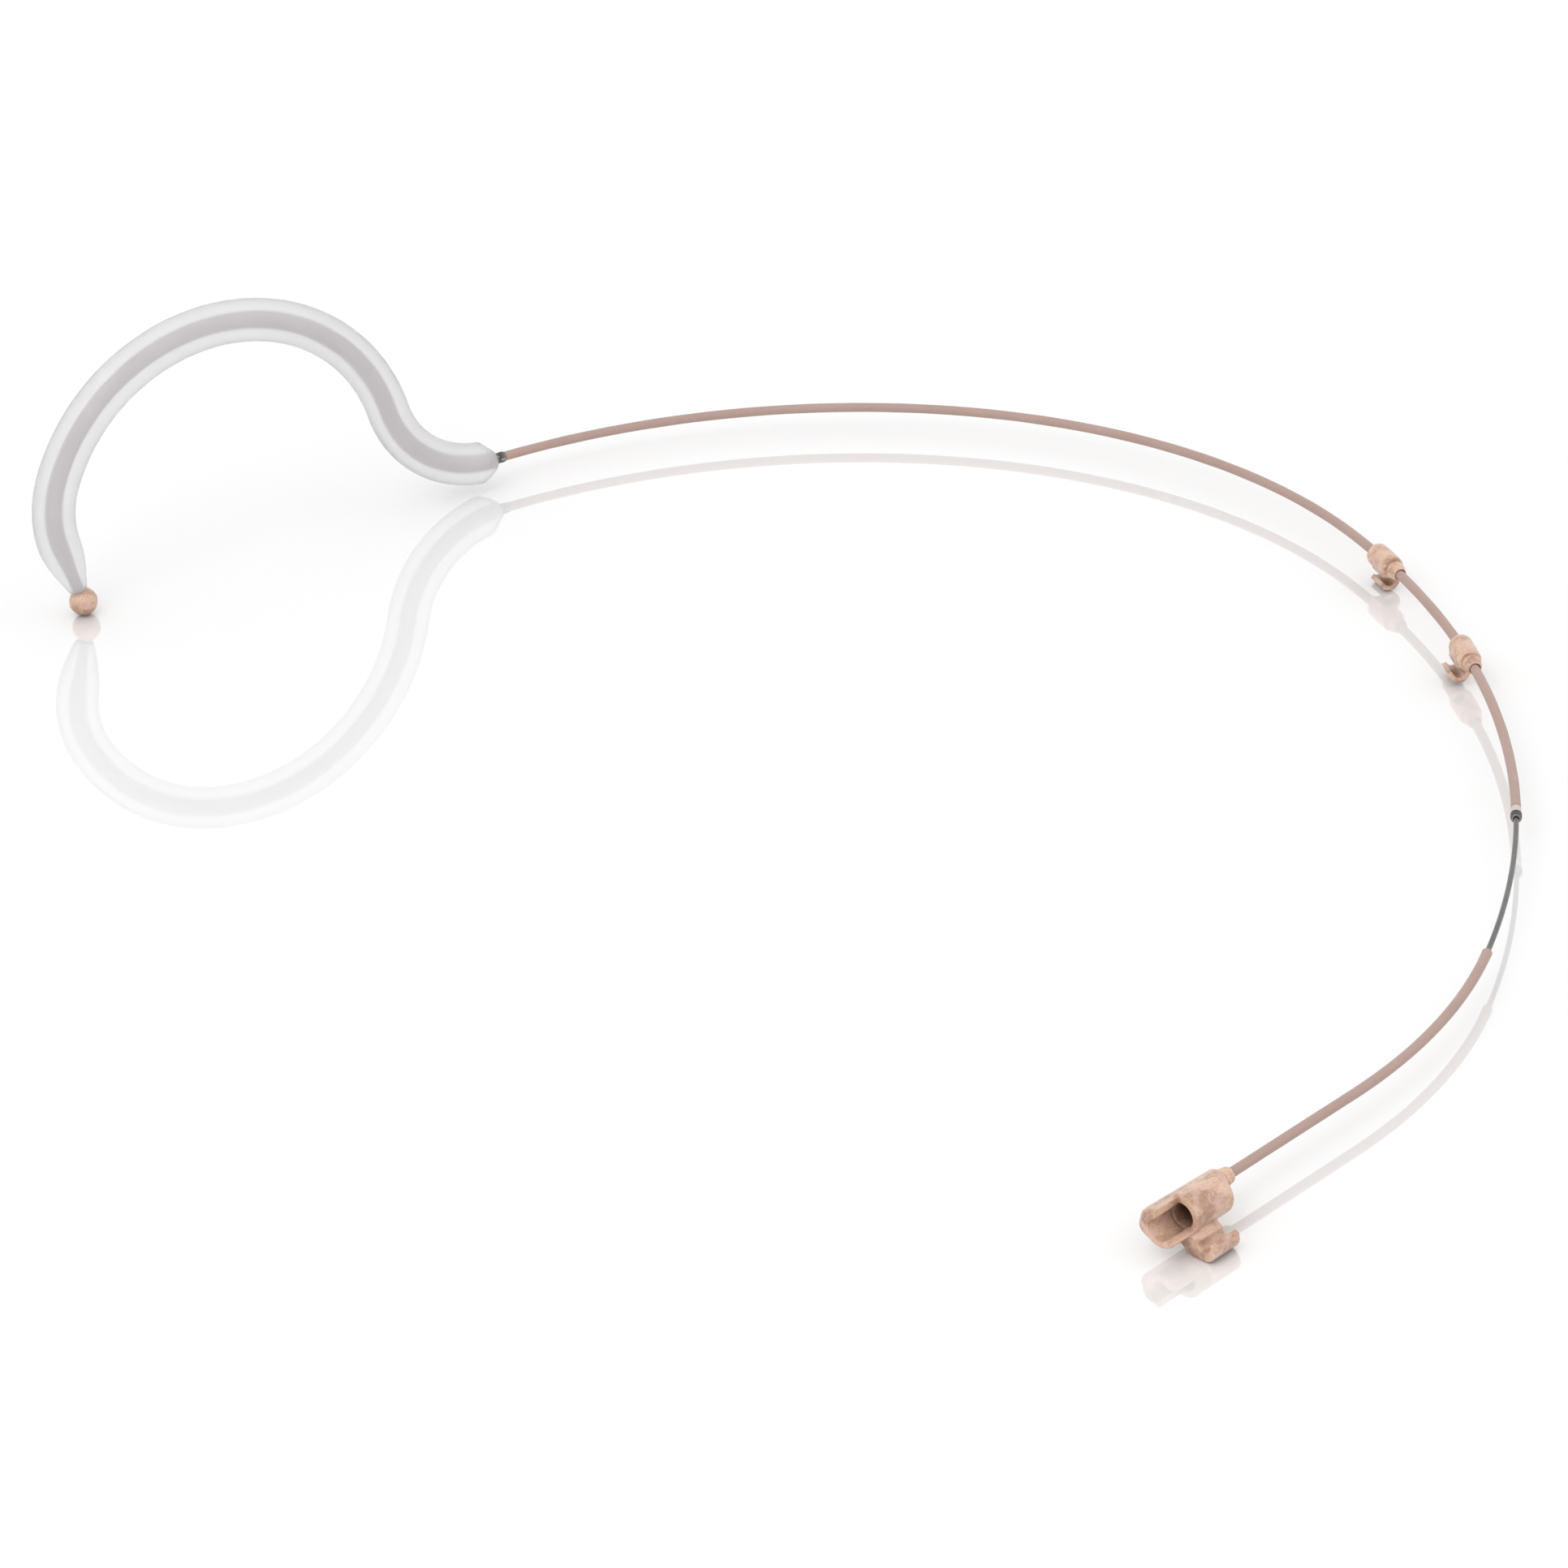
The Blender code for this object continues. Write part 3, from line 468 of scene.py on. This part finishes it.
def placed(name, mesh, surface, body, replaced):
    mesh.transform(Matrix.Scale(MM, 4) @ Matrix.Translation(ORIGIN))
    mesh.shade_smooth()
    mesh.set_sharp_from_angle(angle=SHARP_ANGLE)
    mesh.materials.clear()
    mesh.materials.append(surface)
    piece = bpy.data.objects.new(name, mesh)
    bpy.context.scene.collection.objects.link(piece)
    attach(piece, body)
    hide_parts(replaced)
    return piece


def along(section, meridian, sides, waver=0.0, closed=True):
    """Rings along a centre line.

    The meridian lists (station, radius): out along the outside, and back along the bore.
    Waver is the share by which the radius drifts. An open meridian starts and ends on the centre line.
    """
    work = bmesh.new()
    rings = []
    for station, radius in meridian:
        centre, side, up = section(station)
        drift = 1.0 + waver * noise.noise(centre * 0.4)
        if radius == 0.0:
            rings.append([work.verts.new(centre)] * sides)
            continue
        turns = (2.0 * math.pi * i / sides for i in range(sides))
        rings.append(
            [work.verts.new(centre + (side * math.cos(t) + up * math.sin(t)) * radius * drift) for t in turns]
        )
    pairs = list(zip(rings, rings[1:])) + ([(rings[-1], rings[0])] if closed else [])
    for near, far in pairs:
        for i in range(sides):
            j = (i + 1) % sides
            corners = []
            for corner in (near[i], near[j], far[j], far[i]):
                if corner not in corners:
                    corners.append(corner)
            if len(corners) > 2:
                work.faces.new(corners)
    return work


def run(start, end, pitch, radius):
    """Evenly spaced meridian points between two stations."""
    count = max(2, math.ceil(abs(end - start) / pitch))
    made = []
    for i in range(count + 1):
        station = start + (end - start) * i / count
        made.append((station, radius(station) if callable(radius) else radius))
    return made


def sleeve_like(start, end, outer, bore, lip, pitch):
    """A tube's meridian with rounded rims."""
    rim = [(start + lip * (1.0 - math.sin(t)), outer - lip * (1.0 - math.cos(t))) for t in quarter()]
    far = [(start + end - station, radius) for station, radius in reversed(rim)]
    outside = run(start + lip, end - lip, pitch, outer)
    inside = run(end, start, pitch, bore)
    return rim[::-1][:-1] + outside + far[1:] + inside


def quarter(count=4):
    return [math.pi / 2 * i / count for i in range(count + 1)]


# Ear hook


def sleeve_radius(distance):
    """A rounded cone at the collar, and a long taper to the ball."""
    cone = min(1.0, (distance - SLEEVE_START) / SLEEVE_CONE_LENGTH)
    tail = min(1.0, (SLEEVE_END - distance) / SLEEVE_TAPER_LENGTH)
    at_cone = SLEEVE_COLLAR_RADIUS + (SLEEVE_RADIUS - SLEEVE_COLLAR_RADIUS) * cone ** SLEEVE_CONE_CURVE
    at_tail = SLEEVE_TAIL_RADIUS + (SLEEVE_RADIUS - SLEEVE_TAIL_RADIUS) * math.sin(tail * math.pi / 2)
    return min(at_cone, at_tail)


def core_radius(distance):
    """The core thins towards the ball, where the silicone closes on the wire."""
    share = min(1.0, max(0.0, (SLEEVE_END - CORE_TAPER_GAP - distance) / CORE_TAPER_LENGTH))
    return CORE_TAIL_RADIUS + (CORE_RADIUS - CORE_TAIL_RADIUS) * share


def ear_hook(silicone, core, moulding, steel):
    outside = run(SLEEVE_START, SLEEVE_START + 2.4, 0.2, sleeve_radius)
    outside += run(SLEEVE_START + 2.6, SLEEVE_END - 0.3, 0.5, sleeve_radius)
    outside += [(SLEEVE_END - 0.12, SLEEVE_TAIL_RADIUS), (SLEEVE_END, SLEEVE_TAIL_RADIUS - 0.12)]
    inside = run(SLEEVE_END, SLEEVE_START, 0.8, lambda distance: core_radius(distance) - 0.02)
    work = along(hook_section, outside + inside, 96, 0.004)
    finished("hook_sleeve", work, silicone, "front_frame", "ear_hook_sleeve")

    skin = run(SLEEVE_START + 0.01, SLEEVE_END - 0.01, 0.5, core_radius)
    inner = run(SLEEVE_END - 0.01, SLEEVE_START + 0.01, 0.8, CORE_BORE)
    work = along(hook_section, skin + inner, 40, 0.012)
    finished("hook_core", work, core, "front_frame", "ear_hook_core_skin")

    face = BALL_DISTANCE - BALL_FACE
    ball = [(face, 0.0), (face, 0.62), (BALL_DISTANCE - 1.5, 0.7)]
    for i in range(1, BALL_STEPS + 1):
        turn = math.radians(BALL_OPENING + (180.0 - BALL_OPENING) * i / BALL_STEPS)
        ball.append((BALL_DISTANCE - BALL_RADIUS * math.cos(turn), BALL_RADIUS * math.sin(turn)))
    seam = BALL_DISTANCE + 0.05
    ball = [(s, r + (0.03 if abs(s - seam) < 0.12 else 0.0)) for s, r in ball[:-1]] + [(ball[-1][0], 0.0)]
    work = along(hook_section, ball, 64, 0.004, closed=False)
    finished("hook_ball", work, moulding, "front_frame", "ear_hook_ball")

    half, outer = HOOK_COLLAR_HALF, HOOK_COLLAR_RADIUS
    collar = [(-half, HOOK_COLLAR_BORE), (-half, 0.56), (-half + 0.07, outer), (-0.2, outer), (-0.14, 0.58)]
    collar += [(-0.06, 0.58), (0.0, outer), (half - 0.07, outer), (half, 0.56), (half, HOOK_COLLAR_BORE)]
    work = along(collar_section, collar, 48)
    finished("hook_collar_ring", work, steel, "front_frame", "hook_collar")


def collar_section(distance):
    """Runs through the joint of hook and band: behind 0 is the hook, past 0 the band."""
    return hook_section(-distance) if distance < 0 else band_section(distance)


# Band


def band(skin, dark, pale, steel):
    def waving(station):
        return FRONT_SKIN_RADIUS + 0.008 * math.sin(station * 0.9) * math.sin(station * 0.23)

    def flare(station):
        """The rear skin's cut end, spread a little by the wire."""
        return 0.025 * math.exp(-(((station - REAR_SKIN_START) / 0.9) ** 2))

    flares_above = 0.45

    front = sleeve_like(FRONT_SKIN_START, FRONT_SKIN_END, FRONT_SKIN_RADIUS, FRONT_SKIN_BORE, 0.06, 0.6)
    front = [(s, waving(s) if r == FRONT_SKIN_RADIUS else r) for s, r in front]
    work = along(band_section, front, 32, 0.01)
    finished("band_front_skin", work, skin, "front_frame", "front_skin")

    ring = sleeve_like(RING_START, RING_END, RING_RADIUS, RING_BORE, 0.05, 0.2)
    finished("band_ring", along(band_section, ring, 48), pale, "front_frame", "collar_ring")

    crimps = [(COLLAR_START, 0.46), (COLLAR_START, 0.54), (COLLAR_START + 0.05, COLLAR_RADIUS)]
    for step, drop in ((0.2, 0.0), (0.25, 0.05), (0.32, 0.05), (0.37, 0.0)):
        crimps.append((COLLAR_START + step, COLLAR_RADIUS - drop))
    crimps += [(COLLAR_END - 0.3, COLLAR_RADIUS), (COLLAR_END - 0.1, 0.54), (COLLAR_END, 0.44)]
    crimps += [(COLLAR_END, TUBE_BORE), (COLLAR_END - 0.34, TUBE_BORE), (COLLAR_END - 0.36, 0.46)]
    finished(
        "band_collar", along(band_section, crimps, 48), dark, "front_frame", "adjuster_collar"
    )

    wire = [(WIRE_HEAD, 0.0), (WIRE_HEAD, 0.27), (WIRE_HEAD + 0.1, 0.305), (WIRE_HEAD + 0.8, WIRE_RADIUS)]
    wire += run(WIRE_HEAD + 1.4, WIRE_END - 0.2, 0.6, WIRE_RADIUS) + [(WIRE_END, 0.2), (WIRE_END, 0.0)]
    work = along(band_section, wire, 32, 0.004, closed=False)
    finished("band_slide_wire", work, steel, "slide_end", "slide_wire")

    rear = sleeve_like(REAR_SKIN_START, REAR_SKIN_END, REAR_SKIN_RADIUS, REAR_SKIN_BORE, 0.08, 0.6)
    rear = [(s, r + flare(s) if r > flares_above else r) for s, r in rear]
    work = along(band_section, rear, 32, 0.012)
    finished("band_rear_skin", work, skin, "slide_end", "rear_skin")


def entry_nub(moulding):
    nub = [(NUB_START, NUB_BORE), (NUB_START, 0.66), (NUB_START + 0.12, 0.8), (NUB_START + 0.35, 0.86)]
    nub += [(NUB_START + 0.5, 0.8), (NUB_START + 0.62, 0.8), (NUB_START + 0.78, 0.94), (NUB_END - 0.05, 0.95)]
    nub += [(NUB_END, 0.9), (NUB_END, NUB_BORE)]
    work = along(band_section, nub, 48, 0.006)
    finished("clamp_nub", work, moulding, "slide_end", "entry_collar")


# Moulded pieces: solids are fused on a fine grid, cut, and softened


def arc(centre, radius, start, end, count):
    turns = (start + (end - start) * i / (count - 1) for i in range(count))
    return [(centre[0] + radius * math.cos(t), centre[1] + radius * math.sin(t)) for t in turns]


def belt(first, first_radius, second, second_radius, count=28):
    """The outline of a belt round two circles."""
    away = math.atan2(second[1] - first[1], second[0] - first[0])
    lean = math.acos((first_radius - second_radius) / math.dist(first, second))
    far = arc(second, second_radius, away - lean, away + lean, count)
    near = arc(first, first_radius, away + lean, away - lean + 2 * math.pi, count)
    return far + near


def prism(sections):
    """A solid through outlines in YZ, each a list of points with its X."""
    work = bmesh.new()
    rings = [[work.verts.new((x, y, z)) for y, z in outline] for x, outline in sections]
    for near, far in zip(rings, rings[1:]):
        for i in range(len(near)):
            j = (i + 1) % len(near)
            work.faces.new((near[i], near[j], far[j], far[i]))
    work.faces.new(rings[0][::-1])
    work.faces.new(rings[-1])
    bmesh.ops.recalc_face_normals(work, faces=work.faces)
    return work


def lathe(profile, centre=(0.0, 0.0), sides=72):
    """A solid turned about X from (x, radius) points that start and end on the axis."""

    def section(x):
        return Vector((x, *centre)), Vector((0.0, 1.0, 0.0)), Vector((0.0, 0.0, 1.0))

    work = along(section, profile, sides, closed=False)
    bmesh.ops.recalc_face_normals(work, faces=work.faces)
    return work


def box(low, high):
    outline = [(low[1], low[2]), (high[1], low[2]), (high[1], high[2]), (low[1], high[2])]
    return prism([(low[0], outline), (high[0], outline)])


def rounded_bar(start, end, radius, rim, centre=(0.0, 0.0)):
    """A bar along X with rounded rims."""
    eased = [(rim * (1.0 - math.sin(t)), radius - rim * (1.0 - math.cos(t))) for t in quarter(5)]
    rise = [(start + inset, r) for inset, r in reversed(eased)]
    fall = [(end - inset, r) for inset, r in eased]
    return lathe([(start, 0.0)] + rise + fall + [(end, 0.0)], centre)


def holder(name, work):
    mesh = bpy.data.meshes.new(name)
    work.to_mesh(mesh)
    work.free()
    made = bpy.data.objects.new(name, mesh)
    bpy.context.scene.collection.objects.link(made)
    return made


def joined(name, works):
    whole = bmesh.new()
    for work in works:
        part = bpy.data.meshes.new(name)
        work.to_mesh(part)
        work.free()
        whole.from_mesh(part)
        bpy.data.meshes.remove(part)
    return holder(name, whole)


def softened(name, solids, cuts, grid, passes):
    """The solids fused, the cuts taken out, and every edge eased: a mesh in millimetres."""
    body = joined(name, solids)
    fuse = body.modifiers.new("fuse", "REMESH")
    fuse.mode = "VOXEL"
    fuse.voxel_size = grid
    cutters = [holder(f"{name}_cut_{i}", cut) for i, cut in enumerate(cuts)]
    for cutter in cutters:
        take = body.modifiers.new("take", "BOOLEAN")
        take.operation = "DIFFERENCE"
        take.solver = "MANIFOLD"
        take.object = cutter
    even = body.modifiers.new("even", "REMESH")
    even.mode = "VOXEL"
    even.voxel_size = grid
    ease = body.modifiers.new("ease", "SMOOTH")
    ease.factor = 0.5
    ease.iterations = passes
    depsgraph = bpy.context.evaluated_depsgraph_get()
    mesh = bpy.data.meshes.new_from_object(body.evaluated_get(depsgraph))
    for spent in [body] + cutters:
        bpy.data.objects.remove(spent, do_unlink=True)
    return mesh


def on_band(mesh, station, roll=0.0):
    place, heading = band_place(station)
    headed = Matrix.Translation(place) @ Matrix.Rotation(heading, 4, "Z")
    mesh.transform(headed @ Matrix.Rotation(roll, 4, "X"))
    return mesh


# Cable clips

CLIP_HALF = 3.0
CLIP_RADIUS = 1.3
CLIP_NECK_START = 1.5
CLIP_NECK_RADIUS = 1.0
CABLE_RADIUS = 0.6
CABLE_WALL = 0.55
CABLE_DROP = 1.88
CHANNEL_START, CHANNEL_END = -2.6, 0.6
MOUTH_HALF_ANGLE = math.radians(48.0)
LIP_FLARE = 0.1
CLIP_BORE = 0.57
CLIP_GRID = 0.055
CLIP_EASING = 4


def open_ring(centre, inner, outer, mouth, half_angle, flare, count=24):
    start, end = mouth + half_angle, mouth - half_angle + 2 * math.pi
    out = Vector((math.cos(mouth), math.sin(mouth))) * flare
    far = arc(centre, outer, start, end, count)
    near = arc(centre, inner, end, start, count)
    lip_a = [(near[0][0] + out.x, near[0][1] + out.y), (far[-1][0] + out.x, far[-1][1] + out.y)]
    lip_b = [(far[0][0] + out.x, far[0][1] + out.y), (near[-1][0] + out.x, near[-1][1] + out.y)]
    return far + lip_a[::-1] + near + lip_b[::-1]


def cable_clip_mesh(name):
    groove = CLIP_NECK_START
    barrel = lathe(
        [(-CLIP_HALF, 0.0), (-CLIP_HALF, 0.82), (-CLIP_HALF + 0.1, 1.02), (-CLIP_HALF + 0.32, 1.2)]
        + [(-CLIP_HALF + 0.62, CLIP_RADIUS), (-0.4, CLIP_RADIUS), (groove - 0.35, 1.25)]
        + [(groove - 0.16, 1.12), (groove - 0.14, 0.78), (groove + 0.16, 0.78), (groove + 0.2, 1.02)]
        + [(groove + 0.5, CLIP_NECK_RADIUS)]
        + [(CLIP_HALF - 0.5, 0.9), (CLIP_HALF - 0.2, 0.78), (CLIP_HALF, 0.7), (CLIP_HALF, 0.0)]
    )
    outline = open_ring(
        (0.0, -CABLE_DROP), CABLE_RADIUS, CABLE_RADIUS + CABLE_WALL, math.pi, MOUTH_HALF_ANGLE, LIP_FLARE
    )
    channel = prism([(CHANNEL_START, outline), (CHANNEL_END, outline)])
    neck = box((CHANNEL_START + 0.25, -0.75, -CLIP_RADIUS - 0.15), (CHANNEL_END - 0.2, 0.8, -0.7))
    flange = rounded_bar(-CLIP_HALF + 0.55, -CLIP_HALF + 1.0, CLIP_RADIUS - 0.01, 0.08)
    bore = lathe(
        [(-4.0, 0.0), (-4.0, 0.7), (-CLIP_HALF, 0.7), (-CLIP_HALF + 0.2, CLIP_BORE)]
        + [(CLIP_HALF - 0.1, CLIP_BORE), (CLIP_HALF, 0.62), (4.0, 0.62), (4.0, 0.0)]
    )
    slot = box((-CLIP_HALF + 1.2, CLIP_RADIUS - 0.14, -0.26), (0.5, 2.0, 0.26))
    return softened(name, [barrel, channel, neck, flange], [bore, slot], CLIP_GRID, CLIP_EASING)


def cable_clips(moulding):
    for name, station, roll, body in (
        ("front_cable_clip", FRONT_CLIP, 0.0, "front_clip"),
        ("rear_cable_clip", REAR_CLIP, REAR_CLIP_ROLL, "rear_clip"),
    ):
        mesh = on_band(cable_clip_mesh(name + "_moulding"), station, roll)
        placed(name + "_moulding", mesh, moulding, body, name)


# Boom clamp: local X runs on along the wire, local Y away from the neck

SOCKET = (1.45, 0.2)
SOCKET_RADIUS = 2.0
SOCKET_BORE = 1.2
SOCKET_MOUTH = 7.0
CRADLE_END = 10.2
CHANNEL = (4.6, -1.9)
CHANNEL_BORE = 0.75
CHANNEL_OUTER = 1.3
CHANNEL_FLOOR_RISE = 0.45
WEB_START, WEB_END = 4.0, 7.6
CABLE_LIP_ANGLE = math.radians(30.0)
WEB_MEETS_CHANNEL = math.radians(178.0)
RIDGE_SIDES = 48
CLAMP_GRID = 0.06
CLAMP_EASING = 6

# The ridge's sections: X, radius, and the centre's shift away from the neck and up
RIDGE = (
    (0.0, 0.98, 0.0, 0.0),
    (0.1, 1.18, 0.0, 0.0),
    (0.3, 1.31, 0.0, 0.0),
    (0.6, 1.35, 0.0, 0.0),
    (5.0, 1.32, 0.1, 0.28),
    (9.4, 1.28, 0.2, 0.56),
    (9.9, 1.2, 0.24, 0.62),
    (10.2, 1.02, 0.3, 0.68),
    (10.35, 0.7, 0.35, 0.74),
)


def web_outline():
    lip, meets = CABLE_LIP_ANGLE, WEB_MEETS_CHANNEL
    under = SOCKET[1] - SOCKET_RADIUS
    outline = [(SOCKET[0] - 0.3, under + 0.5), (SOCKET[0] - 0.1, under + 0.1)]
    outline += [(SOCKET[0] + 0.3, under - 0.5), (SOCKET[0] + 0.95, under - 1.05)]
    outline += [(CHANNEL[0] - 1.3, -BAND_HEIGHT)]
    outline += arc(CHANNEL, CHANNEL_OUTER, -math.pi / 2, lip, 22)
    hollow = (CHANNEL[0], CHANNEL[1] + CHANNEL_FLOOR_RISE)
    outline += arc(hollow, CHANNEL_BORE, lip, meets - 2 * math.pi, 30)
    return outline + [(SOCKET[0] + 2.05, under + 0.6), (SOCKET[0] + 1.6, under + 0.9)]


def boom_clamp(moulding):
    last = 2 * math.pi * (RIDGE_SIDES - 1) / RIDGE_SIDES
    ridge = prism([(x, arc((shift, rise), r, 0.0, last, RIDGE_SIDES)) for x, r, shift, rise in RIDGE])
    eases = ((1.6, 0.42), (1.68, 0.24), (1.85, 0.1), (2.1, 0.0))
    eases += ((9.75, 0.0), (10.0, 0.08), (10.14, 0.2), (CRADLE_END, 0.36))
    shell = prism([(x, belt((0.0, 0.0), 1.15 - ease, SOCKET, SOCKET_RADIUS - ease)) for x, ease in eases])
    web = prism([(WEB_START, web_outline()), (WEB_END, web_outline())])
    bridge = prism([(2.2, belt((0.1, 0.35), 0.9, SOCKET, 1.5)), (9.9, belt((0.2, 0.5), 1.05, SOCKET, 1.5))])
    lip = rounded_bar(SOCKET_MOUTH - 0.75, SOCKET_MOUTH, SOCKET_RADIUS + 0.06, 0.2, SOCKET)
    bore = lathe(
        [(3.4, 0.0), (3.4, 1.12), (3.5, SOCKET_BORE), (SOCKET_MOUTH - 0.3, SOCKET_BORE)]
        + [(SOCKET_MOUTH, SOCKET_BORE + 0.16), (SOCKET_MOUTH + 0.05, SOCKET_BORE)]
        + [(12.0, SOCKET_BORE), (12.0, 0.0)],
        SOCKET,
    )
    window = box((SOCKET_MOUTH, 1.05, -0.6), (12.0, 6.0, 5.0))
    entry = rounded_bar(-0.5, 3.1, 0.4, 0.05)
    solids, cuts = [ridge, shell, web, bridge, lip], [bore, window, entry]
    mesh = softened("clamp_moulding", solids, cuts, CLAMP_GRID, CLAMP_EASING)
    on_band(mesh, CLAMP_START)
    placed("clamp_moulding", mesh, moulding, "clamp", "boom_clamp")


# Stage


def stage():
    work = bmesh.new()
    bmesh.ops.create_grid(work, x_segments=8, y_segments=8, size=FLOOR_HALF)
    mesh = bpy.data.meshes.new("floor")
    work.to_mesh(mesh)
    work.free()
    mesh.materials.append(pale_floor())
    floor = bpy.data.objects.new("floor", mesh)
    floor.location = (0.0, 0.0, -FLOOR_DROP)
    bpy.context.scene.collection.objects.link(floor)

    world = bpy.data.worlds.new("studio")
    world.use_nodes = True
    world.node_tree.nodes["Background"].inputs["Color"].default_value = (1.0, 1.0, 1.0, 1.0)
    world.node_tree.nodes["Background"].inputs["Strength"].default_value = WORLD_STRENGTH
    bpy.context.scene.world = world
    for name, place, size, power in LAMPS:
        data = bpy.data.lights.new(name, "AREA")
        data.shape = "SQUARE"
        data.size = size
        data.energy = power
        lamp = bpy.data.objects.new(name, data)
        lamp.location = place
        lamp.rotation_euler = (Vector((0.0, 0.0, 0.01)) - Vector(place)).to_track_quat("-Z", "Y").to_euler()
        bpy.context.scene.collection.objects.link(lamp)
    bpy.context.scene.view_settings.view_transform = "Standard"


def main():
    place_camera()
    stage()
    silicone, core, skin = clear_silicone(), silicone_core(), flesh_skin()
    moulding, steel, dark, pale = flesh_moulding(), spring_steel(), dark_steel(), pale_plastic()
    ear_hook(silicone, core, moulding, dark)
    band(skin, dark, pale, steel)
    entry_nub(moulding)
    cable_clips(moulding)
    boom_clamp(moulding)
    for node in ("ear_hook_wire", "front_tube", "wire_ferrule"):
        mesh = frame["nodes"][node].data
        mesh.materials.clear()
        mesh.materials.append(steel)


main()
